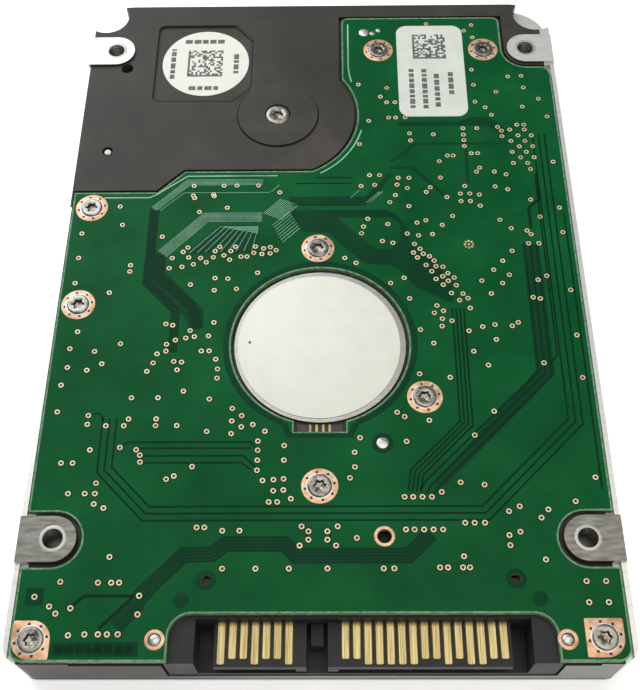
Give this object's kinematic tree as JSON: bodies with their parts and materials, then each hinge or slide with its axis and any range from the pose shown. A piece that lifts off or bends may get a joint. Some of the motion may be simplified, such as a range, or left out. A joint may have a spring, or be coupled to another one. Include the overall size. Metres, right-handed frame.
{
  "type": "hard disk drive",
  "caption": "Slim laptop hard disk drive: cast base, stamped cover, circuit board, serial connector, spindle motor with discs and a swinging head actuator.",
  "frame": {"origin": "middle of the outline on the cover face, the drive lying on its cover", "axes": "+X across to the right seen from the board side with the connector nearest; +Y from the connector end to the far end; +Z out of the board side"},
  "size_m": [0.0698, 0.1002, 0.0095],
  "materials": {
    "coated_casting": "black electrocoat over die-cast aluminium, machined bare on the pads and edges",
    "stamped_cover": "stamped sheet, fine brushed",
    "rubber": "matt",
    "label_stock": "satin white label",
    "silver_label": "satin grey-green label",
    "screw_steel": "plated, bright",
    "board_laminate": "green solder mask over glass laminate",
    "board_copper": "bare copper lands",
    "board_vias": "gold-plated holes",
    "insulator_sheet": "thin black film",
    "chip_resin": "moulded epoxy",
    "capacitor_ceramic": "fired",
    "connector_plastic": "moulded, glass filled",
    "ivory_plastic": "moulded",
    "solder_peg": "tinned copper",
    "gold_contact": "gold flash",
    "machined_aluminium": "turned and milled",
    "motor_steel": "pressed and plated",
    "bearing_bronze": "turned",
    "magnet_plating": "nickel plated",
    "rotor_magnet": "bonded magnet",
    "copper_winding": "enamelled wire",
    "polyimide_flex": "amber film",
    "disc_coating": "polished",
    "bearing_steel": "ground",
    "slider_ceramic": "lapped",
    "filter_media": "felt"
  },
  "bodies": {
    "drive": {"base_casting": "coated_casting", "cover_gasket": "rubber", "top_cover": "stamped_cover", "cover_label": "label_stock", "cover_screws": "screw_steel", "pivot_cover_screw": "screw_steel", "pivot_base_screw": "screw_steel", "casting_label": "label_stock", "circuit_board": "board_laminate", "board_screws": "screw_steel", "board_insulator": "insulator_sheet", "controller_chip": "chip_resin", "memory_chip": "chip_resin", "motor_driver_chip": "chip_resin", "board_capacitors": "capacitor_ceramic", "head_connector": "ivory_plastic", "board_locks": "solder_peg", "sata_housing": "connector_plastic", "signal_contacts": "gold_contact", "power_contacts": "gold_contact", "motor_label": "label_stock", "board_label": "silver_label", "motor_bracket": "machined_aluminium", "stator_core": "motor_steel", "stator_coils": "copper_winding", "bearing_sleeve": "bearing_bronze", "motor_flex": "polyimide_flex", "locating_pin": "screw_steel", "pivot_shaft": "bearing_steel", "bearing_inner_rings": "bearing_steel", "magnet_plate_cover_side": "motor_steel", "magnet_plate_board_side": "motor_steel", "voice_coil_magnets": "magnet_plating", "yoke_posts": "motor_steel", "ramp": "ivory_plastic", "crash_stops": "rubber", "latch_pin": "screw_steel", "recirculation_filter": "filter_media", "desiccant_pack": "filter_media", "flex_bracket": "motor_steel", "flex_circuit": "polyimide_flex"},
    "spindle": {"motor_shaft": "bearing_steel", "spindle_hub": "machined_aluminium", "rotor_magnet": "rotor_magnet", "platter_cover_side": "disc_coating", "platter_board_side": "disc_coating", "spacer_ring": "machined_aluminium", "disc_clamp": "motor_steel", "clamp_screws": "screw_steel"},
    "actuator": {"arm_block": "machined_aluminium", "voice_coil": "copper_winding", "coil_frame": "chip_resin", "pivot_sleeve": "machined_aluminium", "bearing_outer_rings": "bearing_steel", "bearing_balls": "bearing_steel", "head_suspensions": "bearing_steel", "sliders": "slider_ceramic", "preamp_chip": "chip_resin"},
    "latch": {"latch": "ivory_plastic"}
  },
  "joints": [
    {"name": "spindle_spin", "type": "hinge", "parent": "drive", "child": "spindle", "pos_m": [0, -0.0102, 0.004], "axis": [0, 0, 1], "continuous": true},
    {"name": "actuator_swing", "type": "hinge", "parent": "drive", "child": "actuator", "pos_m": [-0.0062, 0.0279, 0.004], "axis": [0, 0, 1], "range_deg": [-37, 0], "deforming": ["flex_circuit"]},
    {"name": "latch_swing", "type": "hinge", "parent": "drive", "child": "latch", "pos_m": [-0.0304, 0.0214, 0.004], "axis": [0, 0, 1], "range_deg": [-6, 0]}
  ]
}
